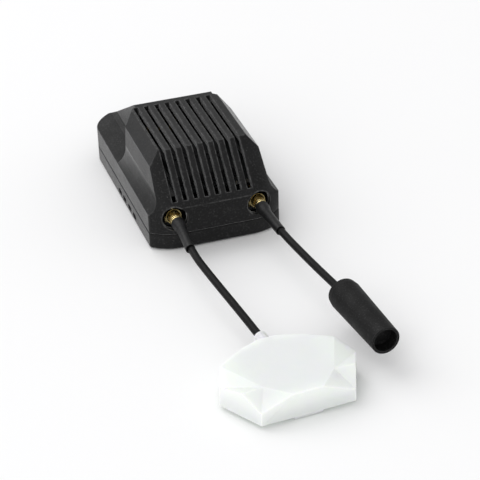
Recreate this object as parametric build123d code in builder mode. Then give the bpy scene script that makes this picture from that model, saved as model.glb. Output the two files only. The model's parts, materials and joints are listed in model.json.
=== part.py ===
from build123d import *
import math
import os

# A small wireless video receiver: a vented two-piece housing with two antennas on short coax leads.
# Frame: origin at the middle of the housing's underside, +Z up, +X to the right, and the housing's
# connector face looks along -Y. Millimetres throughout.

# ---------------------------------------------------------------- driving dimensions: housing
WIDTH = 40.0
DEPTH = 68.0
HEIGHT = 26.5
SEAM = 5.2
SEAM_CHAMFER = 0.3
WALL = 1.6
WALL_TOP = 11.2
FRONT = -DEPTH / 2
REAR = DEPTH / 2
FRONT_FLAT = 10.5
FRONT_ARC = 14.3
NOSE_ARC = 9.0
NOSE_REACH = 7.3
FRONT_CORNER_RADIUS = 1.3
REAR_CORNER = 7.5
SLOPE_FOOT = 13.6
TOP_HALF = 13.5
SIDE_HALF = 17.1
SIDE_TOP = 22.65
TOP_REAR = 9.6
REAR_SLOPE = math.tan(math.radians(30))
TAIL_HALF = 12.3
STEP_FRONT = 3.4
STEP_REAR = 8.2

SLOT_COUNT = 8
SLOT_PITCH = 3.25
SLOT_WIDTH = 1.5
SLOT_SHIFT = -0.85
SLOT_REAR = 7.5
SLOT_SINK = 2.6
SLOT_FOOT = 1.6

SIDE_VENT_YS = (2.1, -2.9, -8.6, -13.9)
SIDE_VENT = (3.5, 1.5)
SIDE_VENT_Z = 2.1

# ---------------------------------------------------------------- driving dimensions: fixings, boards
FLOOR = 1.2
BOSS_SPOTS = ((-15.2, -22.0), (15.2, -22.0), (-15.2, 25.0), (15.2, 25.0))
BOSS_RADIUS = 2.6
SCREW_RADIUS = 1.0
SCREW_HEAD = 1.9
SCREW_SINK = 1.4
SCREW_TIP = 10.2
BOARD_Z = 6.8
BOARD_T = 1.2
BOARD_TOP = BOARD_Z + BOARD_T
DECK_Z = 14.0
DECK_TOP = DECK_Z + BOARD_T
RECEIVER_Y = -14.0
STANDOFFS = ((-12.8, -17.5), (12.8, -17.5), (-12.8, -0.5), (12.8, -0.5))

# ---------------------------------------------------------------- driving dimensions: antenna connectors
JACK_X = 12.8
JACK_Z = 10.3
PORT_RADIUS = 3.65
JACK_FACE = -32.0
JACK_REAR = -26.4
JACK_RADIUS = 2.3
CUP_RADIUS = 2.12
CUP_DEPTH = 1.4
SOCKET_RADIUS = 1.5
SOCKET_DEPTH = 3.9
PLUG_FIT = 0.05
PLUG_RADIUS = 1.85
PLUG_FACE = JACK_FACE + CUP_DEPTH - 0.3
PLUG_REAR = -36.1
POST_RADIUS = 1.15
POST_REAR = -39.5
FERRULE_RADIUS = 1.5
FERRULE_LENGTH = 2.8
BOOT_RADIUS = 2.0
BOOT_NECK = -37.9
BOOT_END_RADIUS = 1.42
BOOT_LENGTH = 11.1
COAX_RADIUS = 1.1

# ---------------------------------------------------------------- driving dimensions: antennas
CASE_CENTRE = (-6.0, -111.25)
CASE_TURN = 4.5
CASE_OUTLINE = ((13.3, -14.2), (19.6, -1.1), (16.4, 6.0), (9.8, 10.4), (3.0, 13.2))
CASE_FOOT = 1.1
CASE_TOP = 8.2
CASE_WALL = 1.2
CASE_DRAFT = 2.0
CREASE = (9.9, -7.9)
CREASE_FRONT = (3.9, -14.2)
CREASE_SIDE = (16.5, -8.2)
FRONT_CORNER = (13.3, -14.2, 4.6)
SIDE_CORNER = (19.6, -1.1, 6.7)
COLLAR_RADIUS = 1.9
COLLAR_LENGTH = 5.2
GROUND_TOP = 2.9
RADIATOR_Z = 4.1
RADIATOR_SIDE = 18.0
SLEEVE_START = 86.9
SLEEVE_LENGTH = 26.4
SLEEVE_RADIUS = 4.6
SLEEVE_TIP_RADIUS = 4.05
SLEEVE_WALL = 0.75
SLEEVE_FLOOR = 2.4
SLEEVE_RECESS = 3.4

LEFT_ROUTE = ((-12.8, -40.0, 10.3), (-13.7, -53.0, 10.2), (-12.1, -66.0, 9.2),
              (-10.0, -79.0, 7.8), (-8.0, -90.5, 6.2), (-7.0, -99.5, 5.6))
RIGHT_ROUTE = ((12.8, -40.0, 10.3), (13.4, -52.0, 10.4), (14.8, -64.0, 10.4),
               (16.6, -76.0, 10.2), (18.5, -87.0, 10.0), (19.4, -97.0, 9.9))

os.makedirs("parts", exist_ok=True)


def save(part, label):
    """Label a finished piece and write its STEP file."""
    part.label = label
    export_step(part, f"parts/{label}.step")


def both_sides(points):
    """A closed outline from its right half, listed from the front centre to the rear centre."""
    return list(points) + [(-x, y) for x, y in reversed(points)]


# ---------------------------------------------------------------- housing: shared forms
def wall_plan(inset):
    """Plan of the side walls: a bowed front with soft corners and a rounded rear."""
    half = WIDTH / 2 - inset
    front = FRONT + inset
    rear = REAR - inset
    arc = FRONT_ARC - inset
    bow = arc - math.sqrt(arc ** 2 - (half - FRONT_FLAT) ** 2)
    turn = math.asin((half - FRONT_FLAT) / arc) / 2
    arc_mid = (FRONT_FLAT + arc * math.sin(turn), front + arc * (1 - math.cos(turn)))
    corner = REAR_CORNER - inset
    with BuildSketch() as plan:
        with BuildLine():
            Line((0, front), (FRONT_FLAT, front))
            ThreePointArc((FRONT_FLAT, front), arc_mid, (half, front + bow))
            Line((half, front + bow), (half, rear - corner))
            RadiusArc((half, rear - corner), (half - corner, rear), -corner)
            Line((half - corner, rear), (0, rear))
            mirror(about=Plane.YZ)
        make_face()
        if inset < FRONT_CORNER_RADIUS:
            front_corners = plan.vertices().filter_by(lambda v: abs(v.Y - front - bow) < 0.01)
            fillet(front_corners, radius=FRONT_CORNER_RADIUS - inset)
    return plan.sketch


def nose_plan(inset, arc_radius, reach):
    """Plan of the hump's front, whose corners turn back along an arc."""
    front = FRONT + inset
    arc = arc_radius - inset
    bow = arc - math.sqrt(arc ** 2 - reach ** 2)
    turn = math.asin(reach / arc) / 2
    arc_mid = (FRONT_FLAT + arc * math.sin(turn), front + arc * (1 - math.cos(turn)))
    corner = (FRONT_FLAT + reach, front + bow)
    with BuildSketch() as plan:
        with BuildLine():
            Line((0, front), (FRONT_FLAT, front))
            ThreePointArc((FRONT_FLAT, front), arc_mid, corner)
            Polyline(corner, (WIDTH, front + bow + 2.0), (WIDTH, 2 * REAR), (0, 2 * REAR))
            mirror(about=Plane.YZ)
        make_face()
    return plan.sketch


def nose_envelope(inset):
    """Everything behind the front: its corners turn back towards the slope's foot and lean with it."""
    foot = SLOPE_FOOT - 0.414 * inset
    with BuildPart() as nose:
        with Locations((0, 0, (WALL_TOP - inset) / 2)):
            Box(3 * WIDTH, 4 * DEPTH, WALL_TOP - inset)
        with BuildSketch(Plane.XY.offset(WALL_TOP - inset)):
            add(nose_plan(inset, FRONT_ARC, WIDTH / 2 - inset - FRONT_FLAT))
        with BuildSketch(Plane.XY.offset(foot)):
            add(nose_plan(inset, NOSE_ARC, NOSE_REACH))
        loft(ruled=True)
        add(nose_plan(inset, NOSE_ARC, NOSE_REACH).moved(Location((0, 0, foot))))
        extrude(amount=HEIGHT, dir=(0, 1, 1))
    return nose.part


def tail_step(inset):
    """The space cleared beside the narrow tail, above the shoulders."""
    tail = TAIL_HALF - inset
    sill = 12.7 - 0.8 * inset
    edge = WALL_TOP - 0.75 * inset
    with BuildPart() as step:
        with BuildSketch(Plane.XZ.offset(-STEP_FRONT + 3 * inset)):
            with BuildLine():
                Line((tail, 2 * HEIGHT), (tail, sill + 1.6))
                RadiusArc((tail, sill + 1.6), (tail + 1.4, sill), -1.7)
                Polyline((tail + 1.4, sill), (WIDTH / 2 - inset, edge), (WIDTH, edge),
                         (WIDTH, 2 * HEIGHT), (tail, 2 * HEIGHT))
            make_face()
        extrude(amount=-DEPTH)
        with BuildSketch():
            corner = SIDE_HALF - inset
            front = STEP_FRONT - 0.6 * inset
            Polygon((tail, STEP_REAR - 0.6 * inset), (corner, front), (WIDTH + 5, front),
                    (WIDTH + 5, DEPTH), (tail, DEPTH), align=None)
        extrude(amount=2 * HEIGHT, mode=Mode.INTERSECT)
        mirror(about=Plane.YZ)
    return step.part


def shell_form(inset):
    """The upper shell's outer form at inset 0, and its cavity at the wall's thickness."""
    wall = (WIDTH / 2 - inset, WALL_TOP - 0.75 * inset)
    cove = (18.1 - inset, 13.0 - 0.8 * inset)
    side_foot = (SIDE_HALF - inset, 16.8)
    side_top = (SIDE_HALF - 0.4 - inset, SIDE_TOP - 0.45 * inset)
    top = (TOP_HALF - 0.5 * inset, HEIGHT - inset)
    foot = SLOPE_FOOT - 0.414 * inset
    tail = HEIGHT - (REAR - TOP_REAR) * REAR_SLOPE - 0.577 * inset
    with BuildPart() as form:
        with BuildSketch(Plane.XZ):
            with BuildLine():
                Polyline((0, SEAM), (wall[0], SEAM), wall)
                ThreePointArc(wall, cove, side_foot)
                Polyline(side_foot, side_top, top, (0, top[1]))
                mirror(about=Plane.YZ)
            make_face()
        extrude(amount=DEPTH / 2, both=True)
        with BuildSketch(Plane.YZ):
            Polygon((FRONT + inset, SEAM), (FRONT + inset, foot),
                    (FRONT + HEIGHT - SLOPE_FOOT + 0.414 * inset, top[1]),
                    (TOP_REAR - 0.268 * inset, top[1]),
                    (REAR - inset, tail), (REAR - inset, SEAM), align=None)
        extrude(amount=WIDTH, both=True, mode=Mode.INTERSECT)
        add(wall_plan(inset))
        extrude(amount=HEIGHT, mode=Mode.INTERSECT)
        add(nose_envelope(inset), mode=Mode.INTERSECT)
        add(tail_step(inset), mode=Mode.SUBTRACT)
    return form.part


# ---------------------------------------------------------------- housing: shells and screws
with BuildPart() as upper_shell:
    add(shell_form(0))
    chamfer(upper_shell.faces().sort_by(Axis.Z)[0].edges(), length=SEAM_CHAMFER)
    add(shell_form(WALL), mode=Mode.SUBTRACT)
    # vent slots through the roof that run on down the sloping front
    slot_top = HEIGHT + 1
    slope_y = FRONT + SLOT_FOOT
    slope_z = SLOPE_FOOT + SLOT_FOOT
    sink = SLOT_SINK / math.sqrt(2)
    rise = HEIGHT - slope_z - sink
    for column in range(SLOT_COUNT):
        x = (column - (SLOT_COUNT - 1) / 2) * SLOT_PITCH + SLOT_SHIFT
        with BuildSketch(Plane.YZ.offset(x)):
            Polygon((slope_y - 2, slope_z + 2), (slope_y + sink, slope_z - sink),
                    (slope_y + sink + rise, HEIGHT - 2 * sink), (SLOT_REAR, HEIGHT - 2 * sink),
                    (SLOT_REAR, slot_top), (slope_y - 2, slot_top), align=None)
        extrude(amount=SLOT_WIDTH / 2, both=True, mode=Mode.SUBTRACT)
    # ports for the two antenna plugs
    with BuildSketch(Plane.XZ.offset(-FRONT - 4)):
        with Locations((-JACK_X, JACK_Z), (JACK_X, JACK_Z)):
            Circle(PORT_RADIUS)
    extrude(amount=6, mode=Mode.SUBTRACT)
    # screw bosses hang from the shoulders down to the main board
    with BuildSketch(Plane.XY.offset(BOARD_TOP)):
        with Locations(BOSS_SPOTS):
            Circle(BOSS_RADIUS)
    extrude(amount=WALL_TOP - BOARD_TOP)
    with BuildSketch(Plane.XY.offset(BOARD_TOP)):
        with Locations(BOSS_SPOTS):
            Circle(SCREW_RADIUS)
    extrude(amount=SCREW_TIP - BOARD_TOP + 0.2, mode=Mode.SUBTRACT)
    # rear opening for the dock header
    with Locations((0, REAR - 1, BOARD_TOP + 1.5)):
        Box(14.4, 4, 3.4, mode=Mode.SUBTRACT)
save(upper_shell.part, "upper_shell")

with BuildPart() as lower_cover:
    add(wall_plan(0))
    extrude(amount=SEAM)
    chamfer(lower_cover.faces().sort_by(Axis.Z)[0].edges(), length=0.7)
    chamfer(lower_cover.faces().sort_by(Axis.Z)[-1].edges(), length=SEAM_CHAMFER)
    add(wall_plan(WALL).moved(Location((0, 0, FLOOR))))
    extrude(amount=SEAM, mode=Mode.SUBTRACT)
    # tongue that locates the cover inside the upper shell
    with BuildSketch(Plane.XY.offset(SEAM - 1)):
        add(wall_plan(WALL + 0.1))
        add(wall_plan(WALL + 1.1), mode=Mode.SUBTRACT)
    extrude(amount=2.4)
    # posts that carry the board, with counterbored screw holes
    with BuildSketch(Plane.XY.offset(FLOOR)):
        with Locations(BOSS_SPOTS):
            Circle(BOSS_RADIUS)
    extrude(amount=BOARD_Z - FLOOR)
    with Locations([(x, y, BOARD_Z / 2) for x, y in BOSS_SPOTS]):
        Cylinder(SCREW_RADIUS + 0.15, 2 * BOARD_Z, mode=Mode.SUBTRACT)
    with Locations([(x, y, 0) for x, y in BOSS_SPOTS]):
        Cylinder(SCREW_HEAD + 0.15, 2 * SCREW_SINK, mode=Mode.SUBTRACT)
    # side vents low on both walls
    with BuildSketch(Plane.YZ):
        with Locations([(y, SIDE_VENT_Z) for y in SIDE_VENT_YS]):
            SlotOverall(*SIDE_VENT)
    extrude(amount=WIDTH, both=True, mode=Mode.SUBTRACT)
    # stiffening ribs across the floor
    with Locations([(0, y, FLOOR + 0.4) for y in (-12, 12)]):
        Box(2 * (WIDTH / 2 - WALL), 1.0, 0.8)
save(lower_cover.part, "lower_cover")

with BuildPart() as cover_screws:
    with BuildSketch(Plane.XY.offset(0.2)):
        with Locations(BOSS_SPOTS):
            Circle(SCREW_HEAD)
    extrude(amount=SCREW_SINK - 0.2)
    with BuildSketch(Plane.XY.offset(SCREW_SINK)):
        with Locations(BOSS_SPOTS):
            Circle(SCREW_RADIUS)
    extrude(amount=SCREW_TIP - SCREW_SINK)
    with BuildSketch(Plane.XY.offset(0.2)):
        with Locations(BOSS_SPOTS):
            Rectangle(2.2, 0.5)
            Rectangle(0.5, 2.2)
    extrude(amount=0.7, mode=Mode.SUBTRACT)
save(cover_screws.part, "cover_screws")

# ---------------------------------------------------------------- housing: boards and what they carry
with BuildPart() as main_board:
    with BuildSketch(Plane.XY.offset(BOARD_Z)):
        add(wall_plan(WALL + 1.5))
        with Locations(BOSS_SPOTS):
            Circle(SCREW_RADIUS + 0.15, mode=Mode.SUBTRACT)
    extrude(amount=BOARD_T)
save(main_board.part, "main_board")

with BuildPart() as video_board:
    with BuildSketch(Plane.XY.offset(DECK_Z)):
        with Locations((0, -12.5)):
            RectangleRounded(29.0, 29.0, 1.0)
    extrude(amount=BOARD_T)
save(video_board.part, "video_board")

with BuildPart() as board_spacers:
    with BuildSketch(Plane.XY.offset(BOARD_TOP)):
        with Locations(STANDOFFS):
            RegularPolygon(1.6, 6)
    extrude(amount=DECK_Z - BOARD_TOP)
save(board_spacers.part, "board_spacers")

with BuildPart() as link_header:
    with Locations((0, 0, (BOARD_TOP + DECK_Z) / 2)):
        Box(16.0, 2.4, DECK_Z - BOARD_TOP)
    with Locations([(0, 0, z) for z in (BOARD_TOP, DECK_Z)]):
        with GridLocations(1.27, 1, 12, 1):
            Box(0.5, 0.9, 0.8, mode=Mode.SUBTRACT)
save(link_header.part, "link_header")


def receiver(label, board_z, centre_y):
    """A receiver module: a small board under a pressed shield can with rounded corners."""
    with BuildPart() as module_board:
        with BuildSketch(Plane.XY.offset(board_z)):
            with Locations((0, centre_y)):
                Rectangle(21.6, 24.0)
                with GridLocations(21.6, 2.54, 2, 7):
                    Circle(0.45, mode=Mode.SUBTRACT)
        extrude(amount=0.8)
    save(module_board.part, f"{label}_receiver_board")
    with BuildPart() as can:
        with BuildSketch(Plane.XY.offset(board_z + 0.8)):
            with Locations((0, centre_y)):
                RectangleRounded(19.4, 21.0, 0.8)
        extrude(amount=2.4)
        chamfer(can.faces().sort_by(Axis.Z)[-1].edges(), length=0.25)
        with BuildSketch(Plane.XY.offset(board_z + 0.8)):
            with Locations((0, centre_y)):
                RectangleRounded(19.0, 20.6, 0.6)
        extrude(amount=2.2, mode=Mode.SUBTRACT)
        with BuildSketch(Plane.XY.offset(board_z + 3.0)):
            with Locations((0, centre_y)):
                with GridLocations(3.2, 3.2, 5, 5):
                    Circle(0.5)
        extrude(amount=0.4, mode=Mode.SUBTRACT)
    save(can.part, f"{label}_shield_can")


receiver("lower", BOARD_TOP, RECEIVER_Y)
receiver("upper", DECK_TOP, RECEIVER_Y)

with BuildPart() as microcontroller:
    with Locations((-7.0, 17.0, BOARD_TOP + 0.7)):
        Box(9.0, 9.0, 1.2)
    with Locations((-7.0, 17.0, BOARD_TOP + 0.2)):
        with GridLocations(0.8, 10.2, 10, 2):
            Box(0.35, 1.4, 0.4)
        with GridLocations(10.2, 0.8, 2, 10):
            Box(1.4, 0.35, 0.4)
save(microcontroller.part, "microcontroller")

with BuildPart() as voltage_regulator:
    with Locations((7.5, 10.5, BOARD_TOP + 0.9)):
        Box(6.5, 3.5, 1.6)
    with Locations((7.5, 10.5, BOARD_TOP + 0.15)):
        with GridLocations(2.3, 5.0, 3, 2):
            Box(0.8, 1.8, 0.3)
save(voltage_regulator.part, "voltage_regulator")

with BuildPart() as power_inductor:
    with BuildSketch(Plane.XY.offset(BOARD_TOP)):
        with Locations((6.5, 18.5)):
            RectangleRounded(6.6, 6.6, 1.2)
    extrude(amount=2.8)
    chamfer(power_inductor.faces().sort_by(Axis.Z)[-1].edges(), length=0.4)
save(power_inductor.part, "power_inductor")

with BuildPart() as filter_capacitors:
    with BuildSketch(Plane.XY.offset(BOARD_TOP)):
        with Locations((13.4, 12.5), (13.4, 18.5)):
            Circle(1.6)
    extrude(amount=2.4)
    fillet(filter_capacitors.faces().sort_by(Axis.Z)[-2:].edges(), radius=0.4)
save(filter_capacitors.part, "filter_capacitors")

DOCK_Y = 31.0
DOCK_PINS = 7
DOCK_PITCH = 1.8
with BuildPart() as dock_header:
    with Locations((0, DOCK_Y, BOARD_TOP + 1.5)):
        Box(14.0, 5.6, 3.0)
    with Locations((0, DOCK_Y + 1.4, BOARD_TOP + 1.5)):
        Box(13.0, 2.9, 2.0, mode=Mode.SUBTRACT)
    with Locations((0, DOCK_Y - 1.4, BOARD_TOP + 1.5)):
        with GridLocations(DOCK_PITCH, 1, DOCK_PINS, 1):
            Box(0.5, 3.0, 0.5, mode=Mode.SUBTRACT)
save(dock_header.part, "dock_header")

with BuildPart() as dock_pins:
    with Locations((0, DOCK_Y - 0.4, BOARD_TOP + 1.5)):
        with GridLocations(DOCK_PITCH, 1, DOCK_PINS, 1):
            Box(0.5, 5.4, 0.5)
    with Locations((0, DOCK_Y - 3.1, BOARD_TOP + 0.875)):
        with GridLocations(DOCK_PITCH, 1, DOCK_PINS, 1):
            Box(0.5, 0.5, 1.75)
save(dock_pins.part, "dock_pins")


# ---------------------------------------------------------------- antenna jacks, fixed to the main board
def along_y(x, y):
    """A sketch plane at y on a connector's axis, facing the antenna."""
    return Plane(origin=(x, y, JACK_Z), x_dir=(1, 0, 0), z_dir=(0, -1, 0))


def jack(side, x):
    with BuildPart() as jack_shell:
        with BuildSketch(along_y(x, JACK_REAR)):
            Circle(JACK_RADIUS)
        extrude(amount=JACK_REAR - JACK_FACE)
        # square foot soldered to the board
        with Locations((x, (JACK_REAR + JACK_FACE + 1.4) / 2, (JACK_Z + BOARD_TOP) / 2)):
            Box(2 * JACK_RADIUS, JACK_REAR - JACK_FACE - 1.4, JACK_Z - BOARD_TOP)
        with BuildSketch(along_y(x, JACK_REAR)):
            Circle(SOCKET_RADIUS)
        extrude(amount=JACK_REAR - JACK_FACE, mode=Mode.SUBTRACT)
        # cup that the plug's barrel enters
        with BuildSketch(along_y(x, JACK_FACE + CUP_DEPTH)):
            Circle(CUP_RADIUS)
        extrude(amount=CUP_DEPTH, mode=Mode.SUBTRACT)
    save(jack_shell.part, f"{side}_jack_shell")
    back = JACK_FACE + SOCKET_DEPTH
    with BuildPart() as jack_insulator:
        with BuildSketch(along_y(x, JACK_REAR)):
            Circle(SOCKET_RADIUS)
            Circle(0.35, mode=Mode.SUBTRACT)
        extrude(amount=JACK_REAR - back)
    save(jack_insulator.part, f"{side}_jack_insulator")
    with BuildPart() as jack_contact:
        with BuildSketch(along_y(x, JACK_REAR + 1.2)):
            Circle(0.35)
        extrude(amount=JACK_REAR + 1.2 - back)
    save(jack_contact.part, f"{side}_jack_contact")


# ---------------------------------------------------------------- antenna leads
def plug(side, x):
    """A straight push-on plug: nose in the jack, ringed barrel in the port, crimp post behind it."""
    nose_radius = SOCKET_RADIUS - PLUG_FIT
    nose_end = JACK_FACE + SOCKET_DEPTH - 0.3
    bore = 1.05
    with BuildPart() as plug_body:
        with BuildSketch(along_y(x, nose_end)):
            Circle(nose_radius)
        extrude(amount=nose_end - PLUG_FACE)
        with BuildSketch(along_y(x, PLUG_FACE)):
            Circle(PLUG_RADIUS)
        extrude(amount=PLUG_FACE - PLUG_REAR)
        with BuildSketch(along_y(x, PLUG_REAR)):
            Circle(POST_RADIUS)
        extrude(amount=PLUG_REAR - POST_REAR)
        # grip rings round the barrel
        for ring in range(4):
            with BuildSketch(along_y(x, JACK_FACE - 0.2 - 0.65 * ring)):
                Circle(PLUG_RADIUS + 0.5)
                Circle(PLUG_RADIUS - 0.2, mode=Mode.SUBTRACT)
            extrude(amount=0.3, mode=Mode.SUBTRACT)
        # hollow nose and the bore for the insulator
        with BuildSketch(along_y(x, nose_end)):
            Circle(bore)
        extrude(amount=nose_end - PLUG_FACE + 2.5, mode=Mode.SUBTRACT)
        # slits that let the nose spring into the jack
        with Locations((x, nose_end - 0.9, JACK_Z)):
            Box(0.3, 1.8, 4, mode=Mode.SUBTRACT)
            Box(4, 1.8, 0.3, mode=Mode.SUBTRACT)
    save(plug_body.part, f"{side}_plug_body")
    with BuildPart() as plug_insulator:
        with BuildSketch(along_y(x, PLUG_FACE + 0.4)):
            Circle(bore)
            Circle(0.25, mode=Mode.SUBTRACT)
        extrude(amount=2.9)
    save(plug_insulator.part, f"{side}_plug_insulator")
    with BuildPart() as plug_pin:
        with BuildSketch(along_y(x, nose_end - 0.3)):
            Circle(0.25)
        extrude(amount=nose_end - 0.3 - PLUG_FACE + 2.5)
    save(plug_pin.part, f"{side}_plug_pin")
    with BuildPart() as ferrule:
        with BuildSketch(along_y(x, PLUG_REAR)):
            Circle(FERRULE_RADIUS)
            Circle(POST_RADIUS, mode=Mode.SUBTRACT)
        extrude(amount=FERRULE_LENGTH)
    save(ferrule.part, f"{side}_ferrule")


def across(start, end):
    """A plane at start that faces end."""
    return Plane(origin=start, x_dir=(1, 0, 0), z_dir=Vector(*end) - Vector(*start))


def boot(side, route):
    """Heat-shrink sleeve: wide over the ferrule, then necked down onto the coax."""
    x = route[0][0]
    first = Vector(*route[0])
    heading = (Vector(*route[1]) - first).normalized()
    tip = first + heading * BOOT_LENGTH
    rings = ((along_y(x, PLUG_REAR), BOOT_RADIUS),
             (along_y(x, BOOT_NECK), BOOT_RADIUS - 0.05),
             (across(first, tip), BOOT_END_RADIUS + 0.13),
             (across(tip, tip + heading), BOOT_END_RADIUS))
    with BuildPart() as sleeve:
        for (near, near_radius), (far, far_radius) in zip(rings, rings[1:]):
            with BuildSketch(near):
                Circle(near_radius)
            with BuildSketch(far):
                Circle(far_radius)
            loft()
        with BuildSketch(along_y(x, PLUG_REAR)):
            Circle(FERRULE_RADIUS)
        extrude(amount=FERRULE_LENGTH, mode=Mode.SUBTRACT)
        with BuildSketch(along_y(x, PLUG_REAR)):
            Circle(POST_RADIUS)
        extrude(amount=PLUG_REAR - POST_REAR, mode=Mode.SUBTRACT)
        with BuildSketch(across(first - heading * 0.6, tip)):
            Circle(COAX_RADIUS + 0.15)
        extrude(amount=BOOT_LENGTH + 1, mode=Mode.SUBTRACT)
    save(sleeve.part, f"{side}_boot")


def coax(side, route):
    """A free coax lead: straight runs joined by tangent arcs."""
    points = [Vector(*point) for point in route]
    radii = []
    for before, corner, after in zip(points, points[1:], points[2:]):
        turn = (corner - before).get_angle(after - corner)
        run = min((corner - before).length, (after - corner).length)
        radii.append(0.45 * run / math.tan(math.radians(turn / 2)))
    with BuildPart() as lead:
        with BuildLine() as path:
            FilletPolyline(*points, radius=radii)
        wire = path.wires()[0]
        with BuildSketch(Plane(origin=wire @ 0, z_dir=wire % 0)):
            Circle(COAX_RADIUS)
        sweep()
    length = wire.length
    fill = lead.part.volume / (math.pi * COAX_RADIUS ** 2 * length)
    print(side, "coax radii", [round(r, 1) for r in radii], "length", round(length, 2),
          "volume ratio", round(fill, 4))
    save(lead.part, f"{side}_coax")


for side, x, route in (("left", -JACK_X, LEFT_ROUTE), ("right", JACK_X, RIGHT_ROUTE)):
    jack(side, x)
    plug(side, x)
    boot(side, route)
    coax(side, route)


# ---------------------------------------------------------------- left antenna: patch in a flat case
def case_plane(z):
    turn = math.radians(CASE_TURN)
    return Plane(origin=(*CASE_CENTRE, z), x_dir=(math.cos(turn), math.sin(turn), 0), z_dir=(0, 0, 1))


def case_outline(inset=0.0):
    Polygon(*both_sides(CASE_OUTLINE), align=None)
    if inset:
        offset(amount=-inset, kind=Kind.INTERSECTION, mode=Mode.REPLACE)


def corner_wedge(side, low, edge):
    """What slopes the top from an edge, listed on the top's own level, to the low point of a corner."""
    spread = 1.5
    drop = Vector(side * low[0], low[1], low[2])
    rim = [drop + (Vector(side * x, y, CASE_TOP) - drop) * spread for x, y in edge]
    with BuildPart() as wedge:
        with BuildSketch(case_plane(rim[0].Z)):
            Polygon(*[(point.X, point.Y) for point in rim], align=None)
        loft(sections=[wedge.pending_faces.pop(), Vertex(*case_plane(0).from_local_coords(drop))])
    return wedge.part


lead_end = Vector(*LEFT_ROUTE[-1])
lead_way = (Vector(*LEFT_ROUTE[-2]) - lead_end).normalized()

with BuildPart() as case_top:
    with BuildSketch(case_plane(CASE_FOOT)):
        case_outline()
    extrude(amount=CASE_TOP - CASE_FOOT, taper=CASE_DRAFT)
    # the top slopes down towards each front corner and each side corner
    for side in (1, -1):
        outside = (2 * FRONT_CORNER[0], 2 * FRONT_CORNER[1])
        add(corner_wedge(side, FRONT_CORNER, (CREASE_FRONT, CREASE, CREASE_SIDE, outside)),
            mode=Mode.SUBTRACT)
        outside = (2 * SIDE_CORNER[0], SIDE_CORNER[1])
        add(corner_wedge(side, SIDE_CORNER, (CREASE_SIDE, CREASE, CASE_OUTLINE[2], outside)),
            mode=Mode.SUBTRACT)
    # collar round the coax
    with BuildSketch(Plane(origin=lead_end - lead_way, z_dir=lead_way)):
        Circle(COLLAR_RADIUS)
    extrude(amount=COLLAR_LENGTH + 1)
    # hollow underside, deeper over the radiator
    with BuildSketch(case_plane(CASE_FOOT)):
        case_outline(CASE_WALL + 0.1)
    extrude(amount=GROUND_TOP + 0.4 - CASE_FOOT, mode=Mode.SUBTRACT)
    with BuildSketch(case_plane(CASE_FOOT)):
        RectangleRounded(RADIATOR_SIDE + 2, RADIATOR_SIDE + 2, 1)
    extrude(amount=CASE_TOP - 1.8 - CASE_FOOT, mode=Mode.SUBTRACT)
    # passage for the coax
    with BuildSketch(Plane(origin=lead_end - 2.5 * lead_way, z_dir=lead_way)):
        Circle(COAX_RADIUS + 0.1)
    extrude(amount=COLLAR_LENGTH + 5, mode=Mode.SUBTRACT)
    # tab under the front wall
    with BuildSketch(case_plane(0.3)):
        with Locations((0, CASE_OUTLINE[0][1] + 0.7)):
            Rectangle(8.0, 0.9)
    extrude(amount=1.4)
save(case_top.part, "patch_case_top")

with BuildPart() as patch_case_base:
    with BuildSketch(case_plane(0)):
        case_outline(CASE_WALL + 0.3)
    extrude(amount=1.5)
    with BuildSketch(case_plane(1.5)):
        with GridLocations(15.0, 13.0, 2, 2):
            Circle(1.1)
    extrude(amount=GROUND_TOP - 0.8 - 1.5)
save(patch_case_base.part, "patch_case_base")

with BuildPart() as patch_ground_board:
    with BuildSketch(case_plane(GROUND_TOP - 0.8)):
        case_outline(CASE_WALL + 0.5)
    extrude(amount=0.8)
save(patch_ground_board.part, "patch_ground_board")

with BuildPart() as patch_spacers:
    with BuildSketch(case_plane(GROUND_TOP)):
        with GridLocations(14.0, 14.0, 2, 2):
            Circle(0.9)
    extrude(amount=RADIATOR_Z - GROUND_TOP)
save(patch_spacers.part, "patch_spacers")

with BuildPart() as patch_radiator_board:
    with BuildSketch(case_plane(RADIATOR_Z)):
        RectangleRounded(RADIATOR_SIDE, RADIATOR_SIDE, 0.6)
    extrude(amount=0.4)
save(patch_radiator_board.part, "patch_radiator_board")

with BuildPart() as patch_feed_pin:
    with BuildSketch(case_plane(GROUND_TOP)):
        with Locations((2.5, 2.5)):
            Circle(0.45)
    extrude(amount=RADIATOR_Z - GROUND_TOP)
save(patch_feed_pin.part, "patch_feed_pin")

# ---------------------------------------------------------------- right antenna: dipole in a sleeve
coax_tip = Vector(*RIGHT_ROUTE[-1])
last_run = (coax_tip - Vector(*RIGHT_ROUTE[-2])).normalized()
sleeve_mouth = Vector(*RIGHT_ROUTE[-2]) + last_run * (SLEEVE_START + RIGHT_ROUTE[-2][1])
sleeve_axis = Axis(sleeve_mouth, last_run)
coax_reach = (coax_tip - sleeve_mouth).length


def sleeve_plane(along):
    """A plane across the sleeve's axis, a given way from its coax end."""
    return Plane(origin=sleeve_mouth + last_run * along, x_dir=(0, 0, 1), z_dir=last_run)


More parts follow.
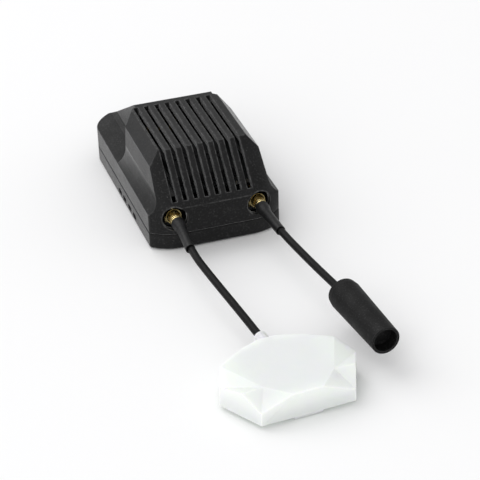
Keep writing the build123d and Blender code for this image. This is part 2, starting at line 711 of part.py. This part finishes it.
with BuildPart() as right_sleeve:
    # outline from the axis outwards: x is the radius, y the way along the axis
    upright = Plane(origin=sleeve_mouth, x_dir=last_run.cross(Vector(1, 0, 0)),
                    z_dir=last_run.cross(Vector(1, 0, 0)).cross(last_run))
    with BuildSketch(upright):
        Polygon((0, 0), (SLEEVE_RADIUS - 1.0, 0), (SLEEVE_RADIUS - 0.3, 0.6), (SLEEVE_RADIUS, 2.6),
                (SLEEVE_TIP_RADIUS, SLEEVE_LENGTH), (SLEEVE_TIP_RADIUS - SLEEVE_WALL, SLEEVE_LENGTH),
                (SLEEVE_RADIUS - SLEEVE_WALL - 0.2, SLEEVE_FLOOR), (0, SLEEVE_FLOOR), align=None)
    revolve(axis=sleeve_axis)
    with BuildSketch(sleeve_plane(-1)):
        Circle(COAX_RADIUS + 0.1)
    extrude(amount=SLEEVE_FLOOR + 2, mode=Mode.SUBTRACT)
save(right_sleeve.part, "right_sleeve")

with BuildPart() as right_end_disc:
    with BuildSketch(sleeve_plane(SLEEVE_LENGTH - SLEEVE_RECESS - 1.0)):
        Circle(SLEEVE_TIP_RADIUS - SLEEVE_WALL)
    extrude(amount=1.0)
save(right_end_disc.part, "right_end_disc")

with BuildPart() as right_dipole_tube:
    with BuildSketch(sleeve_plane(SLEEVE_FLOOR + 0.3)):
        Circle(2.3)
        Circle(COAX_RADIUS + 0.1, mode=Mode.SUBTRACT)
    extrude(amount=coax_reach - SLEEVE_FLOOR - 0.5)
save(right_dipole_tube.part, "right_dipole_tube")

with BuildPart() as right_whip:
    with BuildSketch(sleeve_plane(coax_reach)):
        Circle(0.45)
    extrude(amount=SLEEVE_LENGTH - SLEEVE_RECESS - 1.6 - coax_reach)
save(right_whip.part, "right_whip")
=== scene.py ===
import json
import math

import bmesh
import bpy
from mathutils import Matrix, Vector


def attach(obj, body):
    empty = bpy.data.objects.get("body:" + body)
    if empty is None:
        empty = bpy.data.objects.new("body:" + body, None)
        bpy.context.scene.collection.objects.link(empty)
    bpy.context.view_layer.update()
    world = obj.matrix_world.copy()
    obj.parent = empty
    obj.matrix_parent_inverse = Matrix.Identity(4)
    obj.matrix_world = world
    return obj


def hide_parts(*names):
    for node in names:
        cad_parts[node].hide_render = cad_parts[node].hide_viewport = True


# The looks of a small wireless video receiver: materials for its shells, plugs, leads and antennas,
# soft edges on its moulded parts, a pale floor, soft light and the camera.
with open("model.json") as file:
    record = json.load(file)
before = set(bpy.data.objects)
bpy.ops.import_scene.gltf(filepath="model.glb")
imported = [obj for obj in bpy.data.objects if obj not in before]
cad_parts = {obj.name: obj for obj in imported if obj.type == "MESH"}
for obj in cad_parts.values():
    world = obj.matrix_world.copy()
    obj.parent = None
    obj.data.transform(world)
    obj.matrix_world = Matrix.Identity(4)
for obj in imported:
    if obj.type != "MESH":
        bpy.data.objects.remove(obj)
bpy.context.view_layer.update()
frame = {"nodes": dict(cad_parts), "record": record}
nodes = frame["nodes"]
scene = bpy.context.scene
MM = 0.001

# ---------------------------------------------------------------- camera
# It looks from the front and a little to the left. Places are in metres.
CAMERA_PLACE = Vector((-0.14735, -0.53426, 0.31226))
CAMERA_YAW = math.radians(-17.081)
CAMERA_ELEVATION = math.radians(30.879)
CAMERA_ROLL = math.radians(-2.159)
CAMERA_LENS = 155.66
SENSOR_WIDTH = 36.0
NEAR_CLIP = 0.01
FAR_CLIP = 50.0


def link(name, data):
    made = bpy.data.objects.new(name, data)
    scene.collection.objects.link(made)
    return made


def make_camera():
    data = bpy.data.cameras.new("camera")
    data.lens = CAMERA_LENS
    data.sensor_width = SENSOR_WIDTH
    data.clip_start = NEAR_CLIP
    data.clip_end = FAR_CLIP
    camera = link("camera", data)
    back = Vector((math.sin(CAMERA_YAW) * math.cos(CAMERA_ELEVATION),
                   -math.cos(CAMERA_YAW) * math.cos(CAMERA_ELEVATION),
                   math.sin(CAMERA_ELEVATION)))
    right = (-back).cross(Vector((0, 0, 1))).normalized()
    up = right.cross(-back)
    cos_roll, sin_roll = math.cos(CAMERA_ROLL), math.sin(CAMERA_ROLL)
    across = right * cos_roll + up * sin_roll
    upward = up * cos_roll - right * sin_roll
    turn = Matrix((across, upward, back)).transposed().to_4x4()
    camera.matrix_world = Matrix.Translation(CAMERA_PLACE) @ turn
    scene.camera = camera


make_camera()

# ---------------------------------------------------------------- coax leads
# Each route is the CAD's, in millimetres, from the plug's boot to the antenna.
COAX_DIAMETER = 2.2 * MM
RINGS_PER_SPAN = 24
RING_RESOLUTION = 8
LEFT_ROUTE = ((-12.8, -40.0, 10.3), (-13.7, -53.0, 10.2), (-12.1, -66.0, 9.2),
              (-10.0, -79.0, 7.8), (-8.0, -90.5, 6.2), (-7.0, -99.5, 5.6))
RIGHT_ROUTE = ((12.8, -40.0, 10.3), (13.4, -52.0, 10.4), (14.8, -64.0, 10.4),
               (16.6, -76.0, 10.2), (18.5, -87.0, 10.0), (19.4, -97.0, 9.9))


def make_lead(side, route):
    data = bpy.data.curves.new(f"{side}_coax_lead", "CURVE")
    data.dimensions = "3D"
    data.resolution_u = RINGS_PER_SPAN
    data.bevel_depth = 1.0  # times each point's radius, which Blender also counts in the curve's box
    data.bevel_resolution = RING_RESOLUTION
    data.use_fill_caps = True
    spline = data.splines.new("NURBS")
    spline.points.add(len(route) - 1)
    for point, place in zip(spline.points, route):
        point.co = (*(Vector(place) * MM), 1.0)
        point.radius = COAX_DIAMETER / 2
    spline.order_u = 3
    spline.use_endpoint_u = True
    lead = link(data.name, data)
    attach(lead, f"{side}_antenna")
    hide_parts(f"{side}_coax")
    return lead


left_lead = make_lead("left", LEFT_ROUTE)
right_lead = make_lead("right", RIGHT_ROUTE)


# ---------------------------------------------------------------- materials
class Look:
    """A Principled material and the few node helpers that its details need."""

    def __init__(self, name, color, roughness, metallic=0.0):
        self.material = bpy.data.materials.new(name)
        self.material.use_nodes = True
        self.tree = self.material.node_tree
        self.shader = self.tree.nodes["Principled BSDF"]
        self.shader.inputs["Base Color"].default_value = (*color, 1)
        self.shader.inputs["Roughness"].default_value = roughness
        self.shader.inputs["Metallic"].default_value = metallic
        self.place = self.tree.nodes.new("ShaderNodeTexCoord").outputs["Object"]

    def set(self, **values):
        for name, value in values.items():
            self.shader.inputs[name.replace("_", " ")].default_value = value

    def scaled(self, scale):
        mapping = self.tree.nodes.new("ShaderNodeMapping")
        mapping.inputs["Scale"].default_value = scale
        self.tree.links.new(self.place, mapping.inputs["Vector"])
        return mapping.outputs["Vector"]

    def noise(self, scale, detail=3.0, stretch=(1, 1, 1)):
        noise = self.tree.nodes.new("ShaderNodeTexNoise")
        noise.inputs["Scale"].default_value = scale
        noise.inputs["Detail"].default_value = detail
        self.tree.links.new(self.scaled(stretch), noise.inputs["Vector"])
        return noise.outputs["Fac"]

    def bands(self, scale, direction, distortion=0.0):
        wave = self.tree.nodes.new("ShaderNodeTexWave")
        wave.bands_direction = direction
        wave.inputs["Scale"].default_value = scale
        wave.inputs["Distortion"].default_value = distortion
        wave.inputs["Detail"].default_value = 2.0
        wave.inputs["Detail Scale"].default_value = 0.6
        self.tree.links.new(self.place, wave.inputs["Vector"])
        return wave.outputs["Fac"]

    def ramp(self, source, low, high, dark=0.0, light=1.0):
        """The source taken from low..high to dark..light, clamped."""
        span = self.tree.nodes.new("ShaderNodeMapRange")
        for name, value in (("From Min", low), ("From Max", high), ("To Min", dark), ("To Max", light)):
            span.inputs[name].default_value = value
        self.tree.links.new(source, span.inputs["Value"])
        return span.outputs["Result"]

    def math(self, operation, first, second):
        node = self.tree.nodes.new("ShaderNodeMath")
        node.operation = operation
        for socket, value in zip(node.inputs, (first, second)):
            if isinstance(value, float):
                socket.default_value = value
            else:
                self.tree.links.new(value, socket)
        return node.outputs["Value"]

    def along(self, axis):
        """The place along one axis at rest, in metres."""
        split = self.tree.nodes.new("ShaderNodeSeparateXYZ")
        self.tree.links.new(self.place, split.inputs["Vector"])
        return split.outputs[axis]

    def edges(self, radius):
        """1 on sharp edges, 0 on flats."""
        bevel = self.tree.nodes.new("ShaderNodeBevel")
        bevel.samples = 6
        bevel.inputs["Radius"].default_value = radius
        shape = self.tree.nodes.new("ShaderNodeNewGeometry")
        dot = self.tree.nodes.new("ShaderNodeVectorMath")
        dot.operation = "DOT_PRODUCT"
        self.tree.links.new(bevel.outputs["Normal"], dot.inputs[0])
        self.tree.links.new(shape.outputs["Normal"], dot.inputs[1])
        return self.ramp(dot.outputs["Value"], 0.997, 0.95)

    def tint(self, mask, color):
        """Blend another colour in where the mask is 1, over what the base colour already is."""
        mix = self.tree.nodes.new("ShaderNodeMix")
        mix.data_type = "RGBA"
        self.tree.links.new(mask, mix.inputs["Factor"])
        base = self.shader.inputs["Base Color"]
        if base.links:
            self.tree.links.new(base.links[0].from_socket, mix.inputs["A"])
        else:
            mix.inputs["A"].default_value = base.default_value
        mix.inputs["B"].default_value = (*color, 1)
        self.tree.links.new(mix.outputs["Result"], base)

    def rough(self, source, low, high, dark, light):
        self.tree.links.new(self.ramp(source, low, high, dark, light), self.shader.inputs["Roughness"])

    def bump(self, source, strength, distance):
        bump = self.tree.nodes.new("ShaderNodeBump")
        bump.inputs["Strength"].default_value = strength
        bump.inputs["Distance"].default_value = distance
        self.tree.links.new(source, bump.inputs["Height"])
        target = self.shader.inputs["Normal"]
        if target.links:
            self.tree.links.new(target.links[0].from_socket, bump.inputs["Normal"])
        self.tree.links.new(bump.outputs["Normal"], target)


def housing_black():
    """Charcoal plastic with fine layer lines, a dusty grain, and edges rubbed grey that are lightened
    further as a painted highlight.
    """
    look = Look("housing_black", (0.0052, 0.0052, 0.0054), 0.52)
    look.set(Specular_IOR_Level=0.18, Sheen_Weight=0.5, Sheen_Roughness=0.28)
    layers = look.bands(1100.0, "Z", 0.6)
    grain = look.noise(2100.0, 3.0)
    cloud = look.noise(160.0, 4.0)
    streak = look.noise(900.0, 3.0, (1.0, 1.0, 0.12))
    look.tint(look.ramp(cloud, 0.42, 0.75, 0.0, 0.5), (0.014, 0.014, 0.0145))
    look.tint(look.ramp(grain, 0.54, 0.74, 0.0, 0.6), (0.045, 0.045, 0.045))
    specks = look.math("MULTIPLY", look.ramp(look.noise(2300.0, 1.0), 0.735, 0.80),
                       look.ramp(look.noise(260.0, 2.0), 0.50, 0.62))
    look.tint(look.math("MULTIPLY", specks, 0.7), (0.30, 0.30, 0.29))
    # Edges: real rubbed wear, and partly a painted highlight standing in for light catching the edges.
    edge_wear_and_highlight = look.math("MULTIPLY", look.edges(0.0006), look.ramp(streak, 0.40, 0.62, 0.2, 1.0))
    above_seam = look.ramp(look.along("Z"), 0.0062, 0.0070, 0.0, 0.5)
    look.tint(look.math("MULTIPLY", edge_wear_and_highlight, above_seam), (0.17, 0.17, 0.17))
    look.rough(cloud, 0.3, 0.7, 0.50, 0.66)
    look.bump(layers, 0.35, 0.00005)
    look.bump(grain, 0.45, 0.00012)
    look.bump(cloud, 0.15, 0.0003)
    return look.material


def screw_black():
    look = Look("screw_black", (0.05, 0.05, 0.052), 0.38, 0.9)
    look.rough(look.noise(2400.0), 0.3, 0.7, 0.30, 0.50)
    look.bump(look.noise(3600.0), 0.15, 0.00003)
    return look.material


def board(name, color, track):
    """Solder mask with the faint relief of tracks under it."""
    look = Look(name, color, 0.35)
    look.set(Coat_Weight=0.3, Coat_Roughness=0.2)
    tracks = look.bands(260.0, "DIAGONAL", 3.0)
    look.tint(look.ramp(tracks, 0.55, 0.62, 0.0, 0.6), track)
    look.rough(look.noise(900.0), 0.3, 0.7, 0.28, 0.42)
    look.bump(tracks, 0.12, 0.00004)
    return look.material


def shield_tin():
    look = Look("shield_tin", (0.012, 0.012, 0.013), 0.6)
    look.set(Specular_IOR_Level=0.15)
    brushed = look.noise(420.0, 3.0, (1.0, 14.0, 1.0))
    look.rough(brushed, 0.3, 0.7, 0.5, 0.7)
    look.bump(brushed, 0.10, 0.00004)
    return look.material


def chip_black():
    look = Look("chip_black", (0.018, 0.018, 0.02), 0.5)
    look.bump(look.noise(4000.0, 2.0), 0.2, 0.00003)
    look.rough(look.noise(1500.0), 0.3, 0.7, 0.42, 0.58)
    return look.material


def capacitor_silver():
    look = Look("capacitor_silver", (0.66, 0.67, 0.68), 0.28, 1.0)
    look.bump(look.noise(700.0, 2.0, (1.0, 1.0, 9.0)), 0.08, 0.00003)
    look.rough(look.noise(1500.0), 0.3, 0.7, 0.22, 0.36)
    return look.material


def inductor_grey():
    look = Look("inductor_grey", (0.09, 0.09, 0.10), 0.62)
    look.bump(look.noise(3400.0, 3.0), 0.35, 0.00005)
    look.rough(look.noise(1100.0), 0.3, 0.7, 0.55, 0.7)
    return look.material


def header_black():
    look = Look("header_black", (0.028, 0.028, 0.03), 0.45)
    look.bump(look.noise(3000.0, 2.0), 0.18, 0.00003)
    look.rough(look.noise(900.0), 0.3, 0.7, 0.38, 0.54)
    return look.material


def gold(name, color, turned):
    """Gold over brass: turning lines along Y with painted shade in their grooves, a slightly darker
    tarnish in patches, and painted shade on the brass deep in the port.
    """
    look = Look(name, color, 0.26, 1.0)
    tarnish = look.noise(1400.0, 3.0)
    look.tint(look.ramp(tarnish, 0.55, 0.75, 0.0, 0.5), tuple(0.55 * c for c in color))
    look.rough(tarnish, 0.3, 0.7, 0.18, 0.36)
    if turned:
        rings = look.bands(430.0, "Y", 0.3)
        # Painted shade: the grooves between the turning lines are darkened.
        look.tint(look.ramp(rings, 0.30, 0.05, 0.0, 0.85), tuple(0.16 * c for c in color))
        look.bump(rings, 0.6, 0.0001)
        # Painted shade: the brass deeper than the port's mouth is darkened, standing in for the shade
        # inside the port.
        port_shade = look.ramp(look.along("Y"), -0.0332, -0.0320, 0.0, 0.85)
        look.tint(port_shade, tuple(0.22 * c for c in color))
    else:
        look.bump(look.noise(3200.0), 0.12, 0.00003)
    return look.material


def insulator_white():
    look = Look("insulator_white", (0.86, 0.86, 0.84), 0.35)
    look.set(Subsurface_Weight=0.3, Subsurface_Scale=0.0006)
    look.rough(look.noise(1800.0), 0.3, 0.7, 0.30, 0.42)
    look.bump(look.noise(2600.0), 0.1, 0.00003)
    return look.material


def boot_black():
    """Heat-shrink tube: satin, with faint shrink wrinkles round it."""
    look = Look("boot_black", (0.006, 0.006, 0.0064), 0.42)
    look.set(Specular_IOR_Level=0.22)
    wrinkles = look.noise(420.0, 3.0, (1.0, 3.0, 1.0))
    grain = look.noise(4200.0, 2.0)
    look.tint(look.ramp(grain, 0.62, 0.8, 0.0, 0.5), (0.06, 0.06, 0.06))
    look.rough(wrinkles, 0.3, 0.7, 0.34, 0.52)
    look.bump(wrinkles, 0.35, 0.00012)
    look.bump(grain, 0.2, 0.00003)
    return look.material


def coax_black():
    """Extruded cable jacket: smooth satin with faint draw lines along the lead."""
    look = Look("coax_black", (0.004, 0.004, 0.0042), 0.36)
    look.set(Specular_IOR_Level=0.12)
    draw = look.noise(1500.0, 2.0, (1.0, 0.05, 1.0))
    dust = look.noise(3600.0, 1.0)
    look.tint(look.ramp(dust, 0.70, 0.80, 0.0, 0.45), (0.12, 0.12, 0.12))
    look.rough(draw, 0.3, 0.7, 0.42, 0.56)
    look.bump(draw, 0.25, 0.00003)
    return look.material


def case_white():
    """Milk-white plastic that light sinks into, with a greenish painted shade towards its foot and a
    teal-grey painted shade over its top.
    """
    look = Look("case_white", (0.855, 0.885, 0.855), 0.36)
    look.set(Subsurface_Weight=0.8, Subsurface_Scale=0.003, Subsurface_Radius=(1.0, 1.1, 0.85))
    look.set(Specular_IOR_Level=0.4)
    cloud = look.noise(120.0, 3.0)
    # Painted shade: greenish, darker towards the foot.
    low = look.ramp(look.along("Z"), 0.0048, 0.0012)
    mottle = look.ramp(cloud, 0.35, 0.7, 0.55, 1.0)
    foot_shade = look.math("MULTIPLY", low, mottle)
    look.tint(look.math("MULTIPLY", foot_shade, 0.55), (0.66, 0.76, 0.66))
    look.tint(look.ramp(cloud, 0.50, 0.72, 0.0, 0.4), (0.80, 0.87, 0.83))
    # Painted shade: the top, above about 7 mm, is darkened to a teal grey.
    look.tint(look.ramp(look.along("Z"), 0.0070, 0.0081, 0.0, 0.3), (0.78, 0.84, 0.81))
    look.tint(look.math("MULTIPLY", look.edges(0.0009), 0.5), (0.96, 0.97, 0.95))
    look.rough(look.noise(500.0), 0.3, 0.7, 0.30, 0.44)
    look.bump(look.noise(900.0, 3.0), 0.10, 0.00008)
    look.bump(cloud, 0.2, 0.0004)
    return look.material


def sleeve_black():
    """Moulded black sleeve with a fine spark-eroded grain."""
    look = Look("sleeve_black", (0.0050, 0.0050, 0.0051), 0.52)
    look.set(Specular_IOR_Level=0.14)
    grain = look.noise(2300.0, 3.0)
    cloud = look.noise(240.0, 3.0)
    look.tint(look.ramp(grain, 0.55, 0.75, 0.0, 0.6), (0.04, 0.04, 0.041))
    look.tint(look.math("MULTIPLY", look.edges(0.0004), 0.2), (0.06, 0.06, 0.06))
    look.rough(cloud, 0.3, 0.7, 0.50, 0.64)
    look.bump(grain, 0.5, 0.00006)
    return look.material


MATERIALS = {
    "housing_black": housing_black(),
    "screw_black": screw_black(),
    "board_black": board("board_black", (0.012, 0.013, 0.014), (0.02, 0.022, 0.024)),
    "board_green": board("board_green", (0.012, 0.11, 0.045), (0.02, 0.16, 0.07)),
    "shield_tin": shield_tin(),
    "chip_black": chip_black(),
    "capacitor_silver": capacitor_silver(),
    "inductor_grey": inductor_grey(),
    "header_black": header_black(),
    "contact_gold": gold("contact_gold", (0.83, 0.62, 0.24), False),
    "connector_brass": gold("connector_brass", (0.95, 0.77, 0.37), True),
    "spacer_brass": gold("spacer_brass", (0.72, 0.52, 0.22), False),
    "insulator_white": insulator_white(),
    "boot_black": boot_black(),
    "coax_black": coax_black(),
    "case_white": case_white(),
    "sleeve_black": sleeve_black(),
    "copper_core": gold("copper_core", (0.70, 0.42, 0.22), False),
}


def dress(piece, slot):
    piece.data.materials.clear()
    piece.data.materials.append(MATERIALS[slot])


for row in frame["record"]["subparts"]:
    dress(nodes[row["node"]], row["material_slot"])
for lead in (left_lead, right_lead):
    dress(lead, "coax_black")


# ---------------------------------------------------------------- soft edges on the moulded parts
WELD_DISTANCE = 0.002 * MM
SOFT_EDGES = {"upper_shell": 0.00022, "lower_cover": 0.00018, "patch_case_top": 0.0020}


def soften(node, width, segments=2, angle=32):
    """Round a node's sharp edges a little, as a mould does."""
    piece = nodes[node]
    weld = piece.modifiers.new("weld", "WELD")
    weld.merge_threshold = WELD_DISTANCE
    bevel = piece.modifiers.new("soft_edges", "BEVEL")
    bevel.limit_method = "ANGLE"
    bevel.angle_limit = math.radians(angle)
    bevel.width = width
    bevel.segments = segments
    bevel.use_clamp_overlap = True
    bevel.harden_normals = True


for node, width in SOFT_EDGES.items():
    soften(node, width)


# ---------------------------------------------------------------- floor and light
FLOOR_HALF_SIDE = 4.0
WORLD_BRIGHTNESS = 0.69
# name, place, aim, size and power
SOFTBOXES = (("rear_softbox", (-0.9, 1.3, 1.7), (0, -0.05, 0), (2.2, 2.2), 26.0),
             ("front_softbox", (-1.0, -1.6, 0.9), (0, -0.08, 0), (1.6, 1.0), 11.0))


def make_floor():
    data = bpy.data.meshes.new("floor")
    bm = bmesh.new()
    bmesh.ops.create_grid(bm, x_segments=1, y_segments=1, size=FLOOR_HALF_SIDE)
    bm.to_mesh(data)
    bm.free()
    floor = link("floor", data)
    look = Look("floor_pale", (0.93, 0.93, 0.935), 0.8)
    look.set(Specular_IOR_Level=0.2)
    look.rough(look.noise(60.0), 0.3, 0.7, 0.75, 0.85)
    data.materials.append(look.material)


def area_light(name, place, aim, size, power):
    data = bpy.data.lights.new(name, "AREA")
    data.shape = "RECTANGLE"
    data.size, data.size_y = size
    data.energy = power
    light = link(name, data)
    light.location = place
    light.rotation_euler = (Vector(aim) - Vector(place)).to_track_quat("-Z", "Y").to_euler()


def make_world(brightness):
    world = bpy.data.worlds.new("soft_room")
    world.use_nodes = True
    background = world.node_tree.nodes["Background"]
    background.inputs["Color"].default_value = (1.0, 1.0, 1.0, 1)
    background.inputs["Strength"].default_value = brightness
    scene.world = world


make_floor()
make_world(WORLD_BRIGHTNESS)
for softbox in SOFTBOXES:
    area_light(*softbox)
scene.view_settings.view_transform = "Standard"
